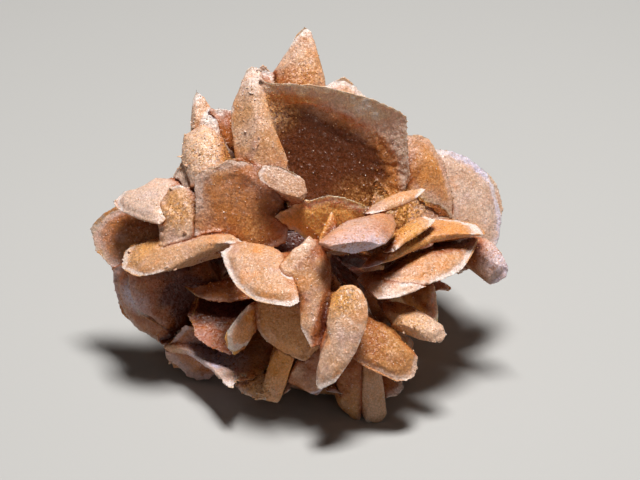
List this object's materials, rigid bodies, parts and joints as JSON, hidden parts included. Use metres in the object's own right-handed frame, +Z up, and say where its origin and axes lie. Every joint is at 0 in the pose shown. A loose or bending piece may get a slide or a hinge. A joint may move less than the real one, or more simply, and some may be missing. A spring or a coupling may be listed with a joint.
{
  "type": "gypsum sand rose",
  "caption": "Natural cluster of lens-shaped gypsum crystal blades grown out of one heart in every direction, resting on the worn rims of its lowest blades.",
  "frame": {"origin": "centre of the bounding box at its lowest level, on the surface that the rose rests on", "axes": "+Z up, -Y towards the side with the rose's face, which leans back 30 degrees, and +X to the right as that side is looked at"},
  "size_m": [0.1054, 0.087, 0.0796],
  "materials": {
    "gypsum_caramel": "satin, sandy gypsum, translucent at the rims",
    "gypsum_pale": "satin, frosted pale gypsum",
    "gypsum_amber": "satin, amber gypsum that light passes through",
    "gypsum_sandy": "rough, crusted with sand grains"
  },
  "bodies": {
    "root": {"front_tongue": "gypsum_pale", "spine_blade": "gypsum_pale", "centre_leaf": "gypsum_pale", "eye_blade": "gypsum_caramel", "lip_blade": "gypsum_amber", "mid_upper_leaf": "gypsum_pale", "great_bowl": "gypsum_caramel", "left_shield": "gypsum_caramel", "right_lower_petal": "gypsum_sandy", "brown_petal": "gypsum_caramel", "lower_shelf": "gypsum_pale", "upper_shelf": "gypsum_caramel", "right_fan": "gypsum_pale", "inner_fan": "gypsum_caramel", "crown_spire": "gypsum_pale", "tower_blade": "gypsum_pale", "left_inner_blade": "gypsum_pale", "left_shelf": "gypsum_sandy", "left_top_sheet": "gypsum_pale", "left_cup": "gypsum_caramel", "pocket_petal": "gypsum_caramel", "amber_blade": "gypsum_amber", "dark_pocket": "gypsum_caramel", "stalk_blade": "gypsum_amber", "lower_mid_petal": "gypsum_pale", "sugar_rim": "gypsum_sandy", "foot_right": "gypsum_pale", "foot_left": "gypsum_sandy", "base_shelf": "gypsum_caramel", "slim_wing": "gypsum_pale", "diagonal_leaf": "gypsum_pale", "sugar_wedge": "gypsum_sandy", "right_fin": "gypsum_amber", "right_knob": "gypsum_pale", "middle_sliver": "gypsum_sandy", "heart_thorn": "gypsum_amber", "back_tip": "gypsum_pale", "tower_tip": "gypsum_pale", "saddle_blade": "gypsum_caramel", "left_spire": "gypsum_pale", "left_crag": "gypsum_pale", "left_slope": "gypsum_sandy", "shadow_leaf": "gypsum_caramel", "left_low_facet": "gypsum_caramel", "left_edge_blade": "gypsum_pale", "lower_left_wing": "gypsum_pale", "low_cup": "gypsum_caramel", "right_tip": "gypsum_sandy", "base_blade": "gypsum_sandy", "back_crest": "gypsum_caramel", "back_left_wing": "gypsum_pale", "back_right_wing": "gypsum_caramel", "back_low_left": "gypsum_sandy", "back_low_right": "gypsum_pale", "back_keel": "gypsum_amber", "back_left_fin": "gypsum_pale", "back_right_fin": "gypsum_caramel", "back_heel": "gypsum_sandy", "back_heart_leaf": "gypsum_pale", "back_shoulder": "gypsum_amber"}
  },
  "joints": []
}
